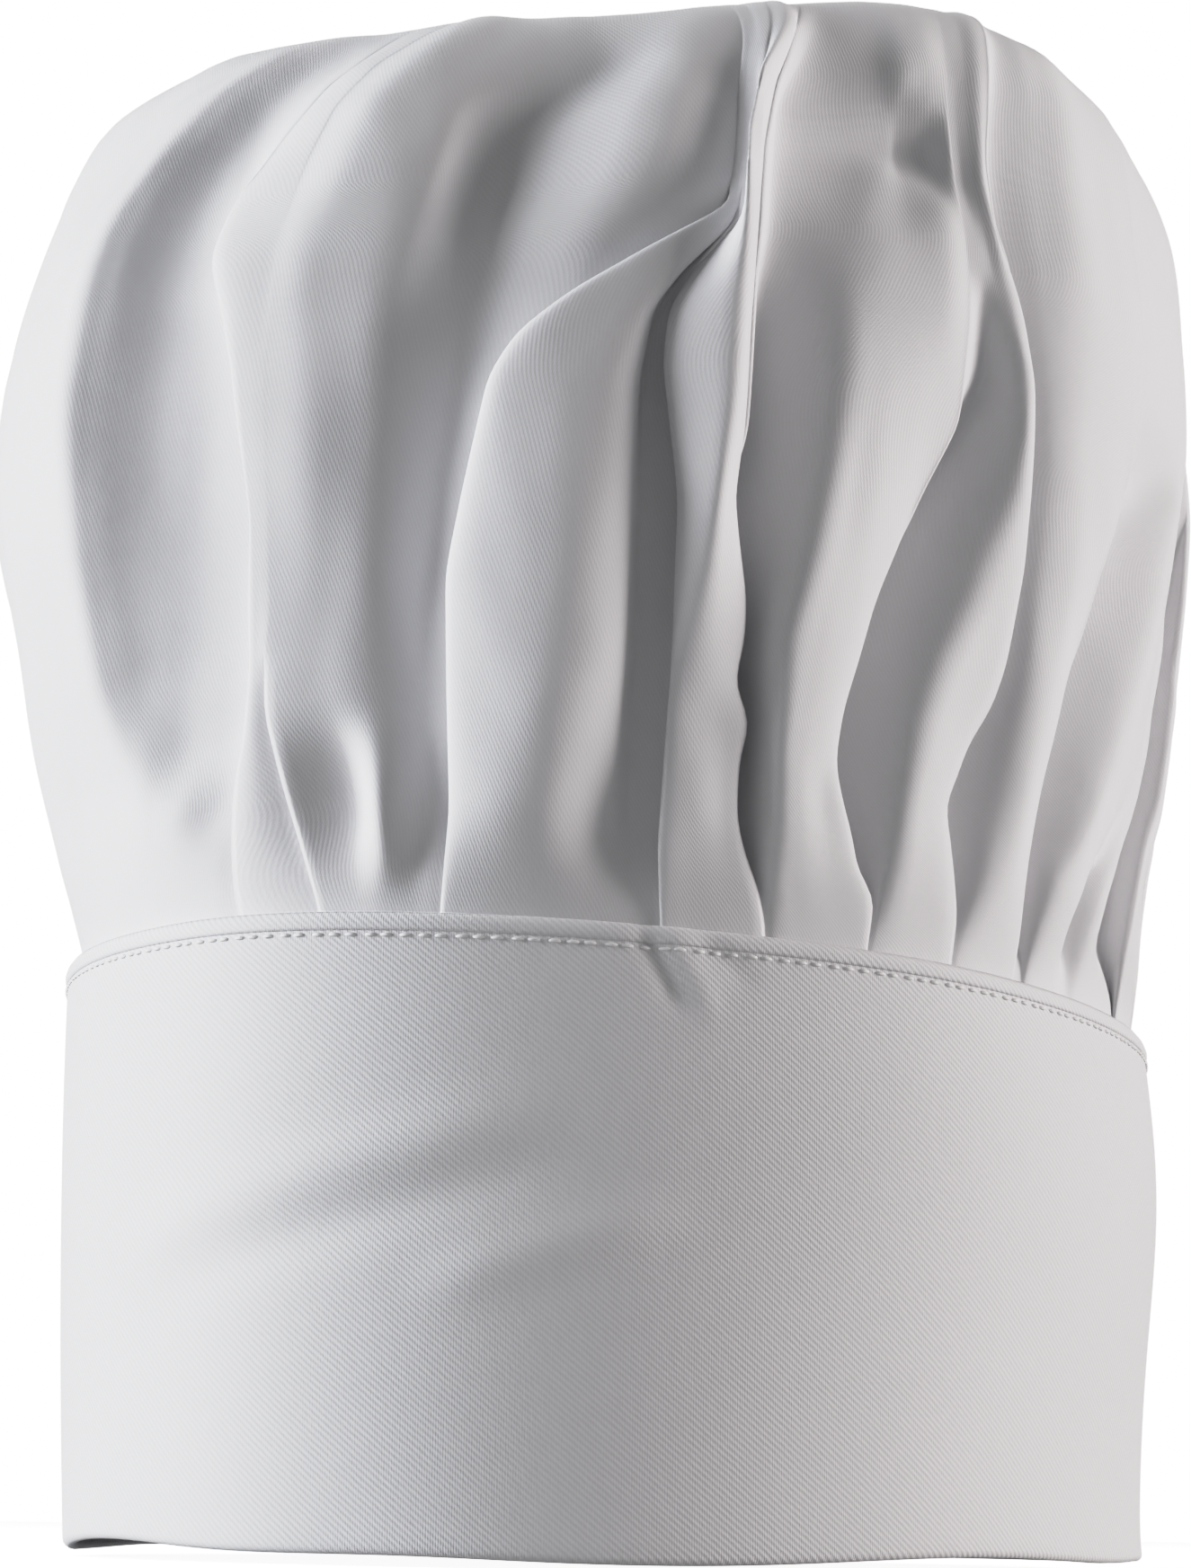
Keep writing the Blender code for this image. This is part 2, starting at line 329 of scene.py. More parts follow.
def weave_material(name, colour, pitch, angle, thread, depth, roughness=0.85, sheen=0.25, soil=0.02, groove_shade=0.86):
    """Woven cloth: slanting wales crossed by threads, in the metres of the piece's weave map, with painted shade in
    the grooves between them.
    """
    material, nodes, links, shader = new_material(name)
    weave = nodes.new("ShaderNodeUVMap")
    weave.uv_map = "Weave"
    slant = add_node(nodes, "Mapping", Rotation=(0.0, 0.0, math.radians(angle)))
    # A wave texture at scale 1 repeats every 2 pi / 20.
    scale = 2 * math.pi / (20 * pitch)
    wales = add_node(nodes, "TexWave", Scale=scale, Distortion=0.7, Detail=2.0, Detail_Scale=0.6)
    threads = add_node(nodes, "TexWave", Scale=2 * math.pi / (20 * thread), Distortion=0.5)
    fuzz = add_node(nodes, "TexNoise", Scale=1.0 / (thread * 1.3), Detail=3.0)
    woven, height = add_node(nodes, "Mix", Factor=0.35), add_node(nodes, "Mix", Factor=0.35)
    bump = add_node(nodes, "Bump", Strength=1.0, Distance=depth)
    clouds = add_node(nodes, "TexNoise", Scale=22.0, Detail=3.0)
    tint = add_ramp(nodes, 0.3, 0.7, darker(colour, 1.0 - soil), colour)
    # Painted shade: the colour is darkened in the weave's low grooves, to the given share of it at the deepest.
    shade = add_ramp(nodes, 0.15, 0.75, (groove_shade, groove_shade, groove_shade + 0.01), (1.0, 1.0, 1.0))
    shaded_grooves = add_node(nodes, "Mix", Factor=1.0)
    shaded_grooves.data_type = "RGBA"
    shaded_grooves.blend_type = "MULTIPLY"
    wire(
        links,
        (weave, "UV", slant, "Vector"),
        (slant, "Vector", wales, "Vector"),
        (weave, "UV", threads, "Vector"),
        (weave, "UV", fuzz, "Vector"),
        (weave, "UV", clouds, "Vector"),
        (wales, "Fac", woven, "A"),
        (threads, "Fac", woven, "B"),
        (woven, "Result", height, "A"),
        (fuzz, "Fac", height, "B"),
        (height, "Result", bump, "Height"),
        (bump, "Normal", shader, "Normal"),
        (clouds, "Fac", tint, "Fac"),
        (height, "Result", shade, "Fac"),
        (tint, "Color", shaded_grooves, "A"),
        (shade, "Color", shaded_grooves, "B"),
        (shaded_grooves, "Result", shader, "Base Color"),
    )
    set_values(shader, Roughness=roughness, Sheen_Weight=sheen, Sheen_Roughness=0.5, Specular_IOR_Level=0.25)
    return material


def grainy_material(name, colour, scale, detail, depth, dark):
    """A material with one fine noise in its colour and its bump, and that noise for more use."""
    material, nodes, links, shader = new_material(name)
    place = add_node(nodes, "TexCoord")
    grain = add_node(nodes, "TexNoise", Scale=scale, Detail=detail)
    bump = add_node(nodes, "Bump", Distance=depth)
    tint = add_ramp(nodes, 0.0, 1.0, darker(colour, dark), colour)
    wire(
        links,
        (place, "Object", grain, "Vector"),
        (grain, "Fac", bump, "Height"),
        (bump, "Normal", shader, "Normal"),
        (grain, "Fac", tint, "Fac"),
        (tint, "Color", shader, "Base Color"),
    )
    return material, nodes, links, shader, grain


def thread_material(name, colour):
    """Twisted sewing thread."""
    material, _, _, shader, _ = grainy_material(name, colour, 4500.0, 2.0, 0.00006, 0.93)
    set_values(shader, Roughness=0.6, Sheen_Weight=0.3)
    return material


def plastic_material(name, colour):
    """Moulded nylon, a little cloudy and uneven in its gloss."""
    material, nodes, links, shader, cloud = grainy_material(name, colour, 900.0, 3.0, 0.00003, 0.92)
    gloss = add_node(nodes, "MapRange", To_Min=0.32, To_Max=0.5)
    wire(links, (cloud, "Fac", gloss, "Value"), (gloss, "Result", shader, "Roughness"))
    return material


WHITE = (0.80, 0.80, 0.81)
band_twill = weave_material("band_twill", WHITE, 0.00075, -52.0, 0.00036, 0.00010)
# The crown's weave has lighter painted shade in its grooves than the band's.
crown_cotton = weave_material(
    "crown_cotton", (0.77, 0.77, 0.78), 0.00052, -28.0, 0.00030, 0.00003, groove_shade=0.94
)
sewing_thread = thread_material("sewing_thread", (0.84, 0.84, 0.84))
hook_nylon = plastic_material("hook_nylon", (0.80, 0.80, 0.81))
loop_nylon = thread_material("loop_nylon", (0.78, 0.78, 0.79))
label_satin = weave_material(
    "label_satin", (0.84, 0.84, 0.83), 0.00034, 0.0, 0.00022, 0.00003, roughness=0.38, sheen=0.1, soil=0.01
)


# ---------------- sewing


def stitch_mesh(name, runs, size, material):
    """Separate stitches. Each run is (start, finish, up): its two ends and the cloth's outward normal."""
    sides, rings = 6, ((0.0, 0.25), (0.12, 0.75), (0.35, 1.0), (0.65, 1.0), (0.88, 0.75), (1.0, 0.25))
    vertices, faces = [], []
    for start, finish, up in runs:
        start, finish, up = Vector(start), Vector(finish), Vector(up).normalized()
        along = finish - start
        across = along.cross(up).normalized()
        faces += tube_faces(len(vertices), len(rings), sides)
        for share, width in rings:
            rise = size * (0.55 * math.sin(math.pi * share) - 0.35)
            middle = start + along * share + up * rise
            for side in range(sides):
                turn = 2 * math.pi * side / sides
                round_ = across * math.cos(turn) + up * math.sin(turn) * 0.8
                vertices.append(middle + round_ * (size * 0.5 * width))
    return solid_piece(name, vertices, faces, material)


def runs_along(points, normals, pitch, length):
    """Stitches of one length at one pitch along a polyline."""
    points, normals = np.asarray(points), np.asarray(normals)
    run = run_along(points)

    def read(values, where):
        return np.array([np.interp(where, run, values[:, k]) for k in range(3)])

    made = []
    for index in range(int(run[-1] // pitch)):
        where = (index + 0.5) * pitch + 0.08 * pitch * math.sin(index * 2.4)
        made.append((read(points, where - length / 2), read(points, where + length / 2), read(normals, where)))
    return made


# ---------------- band


def fold_places(degrees, z):
    """Places round a fold in the cloth whose middle is z metres up; 0 is outside, 90 below and 180 inside."""
    return [
        (MIDDLE - FOLD_RADIUS * math.cos(turn), z - FOLD_RADIUS * math.sin(turn))
        for turn in np.radians(degrees)
    ]


def band_section():
    """The band's folded cloth as (inset, height) along it, down the outside and up the inside."""
    outside = [(NEAR, z) for z in np.linspace(WELT_FOOT + 0.0008, FOLD_RADIUS, 64)]
    fold = fold_places((22, 45, 67, 90, 113, 135, 158), FOLD_RADIUS)
    inside = [(FAR, z) for z in np.linspace(FOLD_RADIUS, BAND_HEIGHT - 0.0003, 48)]
    return np.array(outside + fold + inside)


def folded_cloth(name, section, angles, layer, from_end):
    """A folded strip of twill round the band, its plies closing on each other over the last 2 mm before its free
    end, where from_end is how far each place is from there in metres."""
    near = np.clip(from_end / 0.0020, 0.0, 1.0)
    apart = 0.32 + 0.68 * np.sqrt(near * (2.0 - near))
    inset = MIDDLE + (section[:, :1] - MIDDLE) * apart[None, :]
    points = band_place(angles[None, :], inset, section[:, 1:], layer)
    return grid_mesh(name, points, weave_map(arc_length(angles), -run_along(section)), band_twill)


def build_band():
    inner = np.linspace(BAND_START + 1.0, BAND_FINISH - 1.0, 430)
    ends = np.array([0.0, 0.25, 0.6])
    angles = np.concatenate([BAND_START + ends, inner, BAND_FINISH - ends[::-1]])
    run = arc_length(angles)
    cloth = folded_cloth("band_cloth", band_section(), angles, "band", run[-1] - run)
    thicken(cloth, CLOTH)

    # The welt's section as (inset, height) in mm: up its outside from its foot, and over its top from the band's.
    side = np.array([(0.1, 0.0), (-0.1, 0.5), (-0.2, 1.2), (0.0, 1.9)]) * MM + (0.0, WELT_FOOT)
    over = np.array([(0.3, 0.0), (0.7, 0.1), (1.5, -0.1), (1.1, -0.6)]) * MM + (0.0, BAND_HEIGHT)
    section = np.concatenate([side, over])
    points = band_place(angles[None, :], section[:, :1], section[:, 1:], "band")
    welt = grid_mesh("band_welt", points, weave_map(run, run_along(section)), band_twill)
    thicken(welt, 0.0004)
    return cloth, welt


def sewing(name, angles, inset, z, layer, pitch=0.0026, length=0.0019, size=0.0005, inner=False):
    """A line of stitches through places on the band or the tab."""
    angles, z = np.broadcast_arrays(angles, z)
    normals = outward(angles) * (-1.0 if inner else 1.0)
    runs = runs_along(band_place(angles, inset, z, layer), normals, pitch, length)
    return stitch_mesh(name, runs, size, sewing_thread)


# ---------------- closure and inside

OUTER_LINE = -0.0001  # inset of the stitches on an outer face
HOOK_SHAPE = (  # (along, up, radius) in mm
    (0.0, 0.0, 0.13), (0.0, 0.6, 0.11), (0.1, 0.95, 0.1), (0.3, 1.05, 0.09), (0.48, 0.9, 0.07), (0.5, 0.7, 0.05),
)  # fmt: skip
LOOP_SHAPE = (
    (-0.4, -0.1, 0.06), (-0.45, 0.4, 0.06), (-0.2, 0.8, 0.06), (0.2, 0.8, 0.06), (0.45, 0.4, 0.06), (0.4, -0.1, 0.06),
)  # fmt: skip


def build_tab():
    """The band's tab: cloth folded round at both edges, closed by its own stitching."""
    turns = (22, 45, 67, 90, 113, 135, 158, 180)
    foot, head = TAB_LOW + NEAR + FOLD_RADIUS, TAB_HIGH - NEAR - FOLD_RADIUS
    inside_top = [(FAR, z) for z in np.linspace(head - 0.004, head, 4)]
    over = fold_places([turn + 180 for turn in turns], head)
    outside = [(NEAR, z) for z in np.linspace(head, foot, 60)[1:]]
    inside = [(FAR, z) for z in np.linspace(foot, head - 0.004, 56)[1:]]
    section = np.array(inside_top + over + outside + fold_places(turns, foot) + inside)
    angles = np.array([TAB_START, TAB_START + 0.25, TAB_START + 0.6, *spread(TAB_START + 1.0, TAB_FINISH, 0.45)])
    run = arc_length(angles)
    tab = folded_cloth("tab_cloth", section, angles, "tab", run - run[0])
    bm = bmesh.new()
    bm.from_mesh(tab.data)
    bmesh.ops.remove_doubles(bm, verts=bm.verts, dist=1e-6)
    bm.to_mesh(tab.data)
    bm.free()
    thicken(tab, CLOTH)
    return tab


def patch(name, low_psi, high_psi, low, high, inset, thickness, layer, material, curl=0.0):
    """A flat tape or label, its middle inset metres in; curl lifts its lower edge off the band."""
    angles, z = spread(low_psi, high_psi, 0.5), np.linspace(low, high, 40)
    lift = curl * (1.0 - smoothstep(low, low + 0.02, z)) ** 2
    points = band_place(angles[None, :], (inset + lift)[:, None], z[:, None], layer)
    obj = grid_mesh(name, points, weave_map(arc_length(angles), z), material)
    thicken(obj, thickness)
    return obj


def copies(name, shape, sides, places, material):
    """Many copies of one thin bent wire. shape lists (along, up, radius) in mm, and places (point, along, up)."""
    shape = np.array(shape) * MM
    steps = [shape[min(k + 1, len(shape) - 1), :2] - shape[max(k - 1, 0), :2] for k in range(len(shape))]
    vertices, faces = [], []
    for point, along, up in places:
        across = np.cross(along, up)
        faces += tube_faces(len(vertices), len(shape), sides)
        for (forward, rise, radius), step in zip(shape, steps):
            normal = (step[0] * up - step[1] * along) / np.linalg.norm(step)
            for turn in (2 * math.pi * side / sides for side in range(sides)):
                round_ = math.cos(turn) * across + math.sin(turn) * normal
                vertices.append(tuple(point + along * forward + up * rise + round_ * radius))
    return solid_piece(name, vertices, faces, material)


def wire_places(low_psi, high_psi, low, high, inset, layer, pitch, facing, seed, turned):
    """Rows of places on a tape, facing out of the hat (1) or into it (-1), each turned by up to turned radians."""
    draw = random.Random(seed)
    step = pitch / METRES_PER_DEGREE
    skyward = np.array((0.0, 0.0, 1.0))
    made = []
    for row, z in enumerate(np.arange(low, high, pitch)):
        for psi in np.arange(low_psi + 0.5 * (row % 2) * step, high_psi, step):
            psi_moved = psi + draw.uniform(-0.12, 0.12) * step
            at = band_place(psi_moved, inset, z + draw.uniform(-0.12, 0.12) * pitch, layer)
            up = outward(psi) * facing
            turn = draw.uniform(-turned, turned)
            made.append((at, math.sin(turn) * np.cross(up, skyward) + math.cos(turn) * skyward, up))
    return made


def frame_sewing(name, low_psi, high_psi, low, high, inset, layer, inner=False):
    """One line of stitches round a rectangle on the band or the tab."""
    psi, z = spread(low_psi, high_psi, 0.5), np.linspace(low, high, 40)
    around = np.concatenate([psi, np.full(40, high_psi), psi[::-1], np.full(40, low_psi)])
    up = np.concatenate([np.full(len(psi), low), z, np.full(len(psi), high), z[::-1]])
    return sewing(name, around, inset, up, layer, inner=inner)


def bar_tack(name, node, psi):
    """A dense zigzag of thread across a strain point."""
    runs = []
    for k, z in enumerate(np.linspace(*z_range(node), 25)):
        side = 0.5 if k % 2 else -0.5
        a = band_place(psi - side, OUTER_LINE, z, "band")
        b = band_place(psi + side, OUTER_LINE, z + 0.0003, "band")
        runs.append((a, b, outward(psi)))
    return stitch_mesh(name, runs, 0.00042, sewing_thread)


def build_tab_side():
    """The tab, its stitching, and the tape of hooks inside it."""
    tab = build_tab()
    edge = spread(TAB_START + 1.3, TAB_FINISH - 0.4, 0.5)
    low, high = TAB_LOW + 0.004, TAB_HIGH - 0.003
    around = np.concatenate([edge[::-1], np.full(40, edge[0]), edge])
    up = np.concatenate([np.full(len(edge), low), np.linspace(low, high, 40), np.full(len(edge), high)])
    tab_stitches = sewing("tab_stitches", around, OUTER_LINE, up, "tab", size=0.00055)

    low, high = z_range("hook_tape")
    start, finish = HOOK_START, HOOK_FINISH
    tape = patch("hook_backing", start, finish, low, high, BAND_THICKNESS + 0.0003, 0.0005, "tab", hook_nylon)
    places = wire_places(
        start + 0.5, finish - 0.3, low + 0.001, high - 0.0005, BAND_THICKNESS + 0.0005, "tab", 0.0013, -1, 5, 0.2
    )
    hooks = copies("hook_field", HOOK_SHAPE, 4, places, hook_nylon)
    stitches = frame_sewing("hook_stitches", start + 1.1, finish - 1.1, low + 0.002, high - 0.002, OUTER_LINE, "tab")
    return tab, tab_stitches, tape, hooks, stitches


def build_under_end():
    """The tape of loops on the end of the band beneath the tab, and the stitching there."""
    low, high = z_range("loop_tape")
    start, finish = LOOP_START, LOOP_FINISH
    tape = patch("loop_backing", start, finish, low, high, -0.0003, 0.0005, "band", loop_nylon)
    places = wire_places(
        start + 0.4, finish - 0.3, low + 0.0006, high - 0.0004, -0.0005, "band", 0.00105, 1, 6, 3.1
    )
    loops = copies("loop_pile", LOOP_SHAPE, 3, places, loop_nylon)
    stitches = frame_sewing(
        "loop_stitches", start + 1.0, finish - 1.0, low + 0.002, high - 0.002, INNER_FACE, "band", inner=True
    )
    end = np.linspace(0.004, 0.081, 60)
    return tape, loops, stitches, sewing("under_end_stitches", BAND_FINISH - 1.3, OUTER_LINE, end, "band")


def build_inside():
    """The blank label, and the two rows of stitching that hold the crown's edge in the band."""
    low, high = z_range("care_label")
    start, finish = LABEL_PSI - LABEL_HALF, LABEL_PSI + LABEL_HALF
    label = patch("label", start, finish, low, high, BAND_THICKNESS + 0.0005, 0.00035, "band", label_satin, 0.0012)
    psi, seam = spread(start + 0.8, finish - 0.8, 0.5), z_range("label_stitch")[0] + 0.0002
    label_stitches = sewing(
        "label_stitches", psi, BAND_THICKNESS + 0.0007, seam, "band", 0.0024, 0.0017, 0.00045, inner=True
    )
    psi = spread(-149.0, 149.0, 0.5)
    height = np.mean(z_range("crown_seam_thread"))
    seam_stitches = sewing("seam_stitches", psi, INNER_FACE, height, "band", inner=True)
    height = np.mean(z_range("crown_gather_thread"))
    gathers = sewing("gather_stitches", psi, MIDDLE, height, "band", 0.0042, 0.0030)
    return label, label_stitches, seam_stitches, gathers


# ---------------- crown

# Each guide is a line up the crown, as (height along the cloth, angle, depth) in mm, degrees and mm, and its tuck or
# None. A tuck says on which side the cloth goes under the line, how far, how deep, and between which heights that
# fades.
FRONT_GUIDES = [
    ([(90, -62, 0), (150, -60, 1), (200, -55, 1), (240, -50, 0)], None),
    ([(90, -50, -1), (110, -50, -2), (150, -48, 1), (185, -46, 2), (210, -40, 0), (240, -36, 0)], None),
    ([(90, -38, 1), (120, -38, 2), (160, -37, 2), (190, -34, 2), (210, -31, 1), (240, -24, 0)], None),
    ([(90, -27, 0), (110, -27, -0.5), (150, -29, 3), (180, -27, 3), (200, -25, 2), (215, -21, 1),
      (240, -14, 0)], None),
    # A: the long curved ridge at the left
    ([(86, -19, 0.5), (107, -18, 1.5), (122, -19.5, 4), (143, -19.2, 6), (169, -18.2, 6), (184, -17.4, 5.5),
      (195, -16.8, 5), (203, -15.8, 4.2), (212, -14, 3.2), (222, -11.5, 2.4), (230, -8, 1.2), (240, -4, 0)], None),
    ([(86, -17, 1), (107, -16.2, 1.5), (122, -17.8, 2), (143, -17.5, 3.2), (169, -16.6, 3.2), (184, -15.9, 2.8),
      (195, -15.3, 2.4), (203, -14.3, 2), (212, -12.5, 1.4), (222, -10, 1.1), (240, -2, 0)], None),
    ([(90, -13.5, 1), (103, -13, 1), (111, -13, -4), (125, -13.4, -5), (150, -13.4, -5), (175, -13, -5),
      (195, -12.2, -4.4), (212, -10, -3.5), (222, -7, -2), (240, 1, 0)], None),
    ([(86, -10, 0), (97, -9.8, -1), (105, -9, -4.5), (115, -7.5, -8), (125, -6, -9), (143, -5, -10), (166, -6, -9),
      (182, -8, -6.5), (195, -7.5, -5.5), (205, -7.3, -4.5), (214, -6.5, -3.5), (224, -4, -2), (240, 3, 0)], None),
    # B: two folds that meet and rise to a pinch
    ([(86, -8, 0.5), (91, -8, 0.8), (99, -7, 1), (107, -6, 1), (112, -5, 1), (122, -4, 0.5), (143, -3.2, 1),
      (166, -4.2, 1), (175, -5, 1.5), (184, -5.8, 2.5), (195, -5.2, 1.2), (203, -5, -1), (214, -4.3, -2),
      (224, -2, -1), (240, 5, 0)], (1, 1.2, 5.0, 180, 200)),
    ([(90, -4, 1), (105, -4, 1), (115, -3.7, 0.6), (128, -2.8, 0.9), (166, -3.2, 1.4), (182, -3.6, 3),
      (195, -3.2, 2), (205, -2.6, 0.6), (214, -2, 0.5), (224, 0, 1), (240, 7, 0)], None),
    ([(86, 0, 0.8), (97, -1, 1), (106, -2, 1.2), (115, -3, 1), (122, -2.8, 1), (128, -2.2, 1), (166, -1.8, 1.5),
      (182, -1, 2.4), (195, 0, 2.4), (205, 0.5, 2.6), (214, 1, 3), (224, 3, 2.6),
      (240, 9, 0)], (1, 1.0, 2.6, 108, 124)),
    ([(90, 3, -0.5), (100, 3, -3), (107, 2.5, -3), (115, 1.5, -0.5), (150, 1.5, 1), (175, 1.5, 1.5), (190, 3, 3),
      (200, 4, 4.5), (212, 4.5, 5), (224, 7, 4), (240, 12, 0.5)], None),
    ([(88, 5, -0.5), (95, 5.8, 2.5), (105, 5.5, 1), (115, 5, -1.5), (150, 5.5, -1.5), (175, 6.5, -1), (189, 8.5, 0),
      (200, 9.5, 1.5), (212, 10, 1.8), (224, 12, 1.5), (240, 16, 0)], None),
    ([(88, 8, -2), (95, 8, -2.5), (105, 8.5, -3.5), (118, 8.5, -5), (133, 8.5, -6.5), (150, 9.5, -7),
      (167, 11.0, -7), (180, 11.2, -6.5), (190, 11.4, -6), (200, 12.2, -5.5), (212, 14.5, -4.5), (224, 22, -2.5),
      (240, 25, 0)], None),
    ([(88, 9.5, -2), (118, 10.3, -5.5), (150, 12, -6.5), (160, 13, -6), (170, 16.0, -5), (180, 19.5, -2.6),
      (190, 22.5, 1.2), (200, 24.5, 3.2), (212, 26, 3.2), (224, 28, 1), (240, 31, 0)], None),
    # C: the fold that rises and turns over to the right
    ([(87, 10, 0.6), (101, 11, 0.8), (133, 11, 0.6), (143, 12, 0.8), (153, 13, 1), (161, 13.8, 1.5), (167, 15.5, 2),
      (174, 19.5, 2.5), (183, 25.5, 2), (190, 30, 1.2), (196, 30.4, 0.5), (218, 32.4, 0.2),
      (240, 34.5, 0)], (1, 1.8, 5.0, 182, 196)),
    ([(88, 13.5, 2), (101, 14.5, 3.8), (118, 15, 4), (143, 16.5, 4.5), (161, 19, 4), (170, 22, 3.4),
      (178, 25.5, 2.5), (187, 30, 1.4), (196, 30.8, 1), (218, 32.8, 0.6), (240, 35, 0)], None),
    ([(88, 19, 1.5), (101, 18.5, 3.5), (118, 19, 5), (143, 20.3, 5), (161, 22, 3.5), (170, 23.8, 2.4),
      (178, 26.5, 1.5), (187, 30.3, 1), (196, 31.1, 1.6), (218, 33.1, 1), (240, 35.5, 0)], None),
    ([(88, 23, -1.5), (98, 23.5, -3), (110, 23, 0.5), (124, 22.8, 2.6), (145, 23, 2), (161, 23.6, 0.5),
      (172, 24.6, 0.5), (180, 27, 0.3), (188, 30.5, 0.8), (196, 31.3, 2.2), (218, 33.4, 1.5), (240, 36, 0)], None),
    ([(88, 25.5, -2.5), (98, 25.3, -4), (110, 25, -4), (124, 25, -3.5), (145, 24.8, -4), (155, 24.6, -4.5),
      (164, 24.4, -4.2), (172, 25, -3.2), (178, 26.5, -2), (187, 30.4, 0), (196, 31.5, 2.8), (218, 33.7, 2),
      (240, 36.5, 0.2)], None),
    # D: the upright fold left of the middle of the crown
    ([(87, 28, 1), (98, 27, 2.4), (124, 27, 2.4), (135, 27, 1.5), (145, 27, 1), (156, 26.2, 0.8), (164, 25.6, 0.8),
      (172, 25.8, 0.8), (179, 27.6, 0.6), (188, 31, 1.4), (196, 31.8, 3.4), (218, 34, 2.6),
      (240, 37.5, 0.4)], (1, 1.2, 5.0, 162, 182)),
    # E: the bright ridge from the rim, with its steep right side
    ([(88, 30.5, 1), (105, 29.5, 2.6), (118, 27.6, 2.8), (125, 27.8, 3.4), (135, 28.7, 4.8), (149, 29.1, 6.6),
      (157, 29.5, 7), (180, 30.1, 7), (195, 30.7, 6.2), (204, 31.5, 5.2), (218, 33.8, 3.8), (230, 37.5, 2),
      (240, 39, 0.5)], None),
    ([(88, 34, 0.8), (98, 32.2, 1.6), (115, 31, 2), (133, 30.4, 3.2), (145, 30, 4.2), (157, 30.7, 4.6),
      (180, 31.3, 4.4), (195, 31.9, 3.6), (204, 32.7, 2.4), (218, 35, 1.8), (230, 38.6, 1), (240, 40, 0)], None),
    ([(88, 37, 0.6), (93, 36, 0.6), (98, 34.3, 0.6), (103, 33.2, 0.8), (111, 33, 0.8), (116, 33.5, 1.4),
      (121, 32, 1), (127, 32.5, 1.2), (133, 32.4, 1), (138, 31.8, 1), (146, 30.9, 1.4), (157, 31.7, 0.5),
      (180, 32.3, -1), (195, 33.1, -1), (204, 33.9, -1), (218, 36, -0.5), (240, 41, 0)], (-1, 1.4, 5.0, 136, 156)),
    ([(88, 37, -2), (103, 34.3, -7), (115, 33.8, -10), (127, 32.8, -10), (145, 32.2, -9), (154, 32.5, -8.5),
      (167, 33.3, -7), (181, 34.1, -5.5), (197, 34.9, -4.2), (215, 36.6, -3), (230, 41, -1.5), (240, 43, 0)], None),
    # G: the broad slanting panel
    ([(88, 38, 0.8), (96, 36.6, 2), (113, 35.6, 3.6), (128, 35.2, 4), (142, 37, 4.2), (152, 38, 4), (162, 38.6, 3),
      (177, 39.8, 0.6), (189, 41.4, -0.8), (202, 45, -2), (207, 47, -4), (213, 46.5, -2), (219, 46, -1),
      (240, 48, 0)], None),
    ([(88, 40.5, 1), (96, 38.8, 2.4), (113, 37.3, 3.6), (128, 38, 3.8), (142, 40, 3.6), (162, 42, 3),
      (177, 43.4, 1.8), (188, 44.6, 0.8), (200, 47, -1.5), (207, 48, -4.5), (213, 48, -1.5), (219, 48, 0.8),
      (240, 50, 0)], None),
    ([(88, 43.5, 1), (96, 42, 1.6), (108, 40, 2), (120, 40.6, 2), (142, 43.2, 1.8), (162, 46, 2), (180, 48.3, 2.4),
      (195, 49.4, 1.4), (207, 49.8, -3), (214, 50, 0.6), (225, 51, 1), (240, 53, 0)], None),
    ([(88, 47, 0.8), (95, 47, 0.6), (98, 45, 0.6), (103, 44, 0.6), (108, 42.4, 1), (113, 41.8, 0),
      (120, 42.2, -0.5), (135, 44.3, -0.6), (151, 47.8, -0.2), (163, 51, 0.8), (178, 51.2, 1.8), (200, 51, 1.2),
      (214, 52, 1), (240, 55.5, 0)], (-1, 1.3, 5.0, 122, 150)),
    ([(88, 46.8, -2.5), (95, 47.4, -4.5), (105, 44.8, -9), (115, 43.4, -11), (128, 44.8, -12), (139, 47, -11),
      (151, 50, -9.5), (163, 54, -7), (171, 56, -2.5), (185, 52.6, 2.2), (200, 52, 1.4), (214, 53, 1.2),
      (240, 56.5, 0)], None),
    # I: the slanting ridge that turns up to the rim
    ([(88, 47.8, 0.8), (102, 48, 2), (110, 48.2, 2.6), (120, 48.6, 3), (128, 50, 3), (139, 53.4, 3),
      (154, 56.6, 3.2), (165, 57.2, 3), (174, 56.6, 3), (185, 53.8, 2.8), (200, 52.6, 2.2), (214, 54, 1.8),
      (240, 58, 0)], None),
    ([(88, 52.5, 1), (102, 51.2, 2), (110, 50.6, 2.6), (120, 52, 3), (128, 54, 3.2), (139, 56.6, 3.8),
      (154, 58, 4.2), (172, 57.6, 4.2), (186, 54.6, 3.6), (200, 53.2, 3.4), (214, 55, 2.6),
      (240, 59.5, 0.5)], None),
    ([(88, 57, 0.6), (95, 57, 0.4), (101, 56, 0.4), (110, 54, 0.8), (114, 55, 1), (119, 56, 1.2), (125, 58, 1.8),
      (131, 59, 2.2), (145, 60, 2.6), (155, 59.6, 3), (172, 58.7, 3.5), (180, 57.2, 3.5), (187, 55.4, 3.3),
      (194, 54, 3), (204, 54.2, 3), (218, 56.8, 2.2), (240, 61, 0.5)], (-1, 1.2, 5.0, 165, 190)),
    ([(88, 57, -2.5), (99, 57.2, -5), (110, 56, -9), (120, 58.4, -10), (131, 60.6, -9), (145, 61.6, -7.5),
      (159, 61.6, -6.5), (173, 60.8, -6), (184, 59.4, -5.5), (197, 58.4, -4.5), (211, 59, -3), (225, 61, -1.5),
      (240, 63.5, 0)], None),
    # K: the narrow ridge that widens into the big right panel
    ([(88, 57.8, 0.8), (99, 59.2, 1.6), (106, 60.2, 1.4), (116, 61.6, 1.2), (128, 62.8, 1), (141, 63.8, 0.6),
      (159, 65.8, 0), (173, 64.8, -0.5), (184, 63.4, -0.8), (197, 63.2, -0.6), (211, 64.4, 0), (227, 65.6, 0.3),
      (240, 67, 0)], None),
